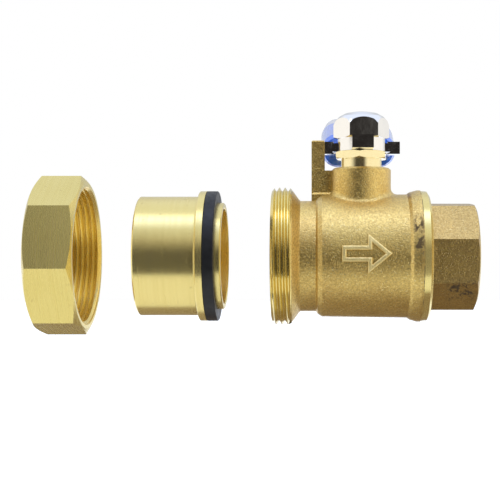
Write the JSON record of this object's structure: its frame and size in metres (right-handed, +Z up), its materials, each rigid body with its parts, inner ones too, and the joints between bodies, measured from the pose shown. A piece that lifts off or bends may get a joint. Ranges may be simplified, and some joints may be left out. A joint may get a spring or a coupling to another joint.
{
  "type": "ball valve with loose union",
  "caption": "Brass ball valve with a lever and stop post, a threaded port, and a gasketed union tail and nut set out apart from the body.",
  "frame": {"origin": "the centre of the threaded port's end plane", "axes": "+X leaves the port along the waterway, +Z runs up the stem, and +Y is where the lever of the closed valve points"},
  "size_m": [0.152, 0.1208, 0.087],
  "materials": {
    "cast_brass": "shot-blasted casting",
    "turned_brass": "machined",
    "chrome": "polished plating",
    "black_rubber": "satin",
    "white_seal": "smooth",
    "blue_grip": "glossy dipped vinyl"
  },
  "bodies": {
    "valve": {"valve_body": "cast_brass", "end_cap": "cast_brass", "body_joint_seal": "white_seal", "inlet_seat": "white_seal", "outlet_seat": "white_seal", "packing_ring_lower": "white_seal", "packing_ring_middle": "white_seal", "packing_ring_upper": "white_seal", "gland_follower": "turned_brass", "gland_nut": "turned_brass"},
    "ball": {"ball": "chrome"},
    "handle": {"stem": "turned_brass", "stem_thrust_washer": "white_seal", "stem_o_ring": "black_rubber", "lever": "chrome", "lever_grip": "blue_grip", "lever_washer": "chrome", "lever_nut": "chrome"},
    "tail": {"union_tail": "turned_brass", "union_gasket": "black_rubber"},
    "slip_ring": {"union_slip_ring": "turned_brass"},
    "nut": {"union_nut": "turned_brass"}
  },
  "joints": [
    {"name": "lever_turn", "type": "hinge", "parent": "valve", "child": "handle", "pos_m": [-0.0395, 0, 0.0366], "axis": [0, 0, 1], "range_deg": [-90, 0]},
    {"name": "ball_turn", "type": "hinge", "parent": "valve", "child": "ball", "pos_m": [-0.0395, 0, 0], "axis": [0, 0, 1], "range_deg": [-90, 0]},
    {"name": "tail_slide", "type": "slide", "parent": "valve", "child": "tail", "axis": [1, 0, 0], "range_m": [0, 0.0188]},
    {"name": "nut_advance", "type": "slide", "parent": "tail", "child": "slip_ring", "axis": [1, 0, 0], "range_m": [0, 0.0519]},
    {"name": "nut_turn", "type": "hinge", "parent": "slip_ring", "child": "nut", "pos_m": [-0.1435, 0, 0], "axis": [1, 0, 0], "range_deg": [0, 9342]}
  ],
  "couplings": [
    {"joint": "ball_turn", "follows": "lever_turn", "ratio": 1},
    {"joint": "nut_advance", "follows": "nut_turn", "m_per_rad": 0.00031831}
  ]
}
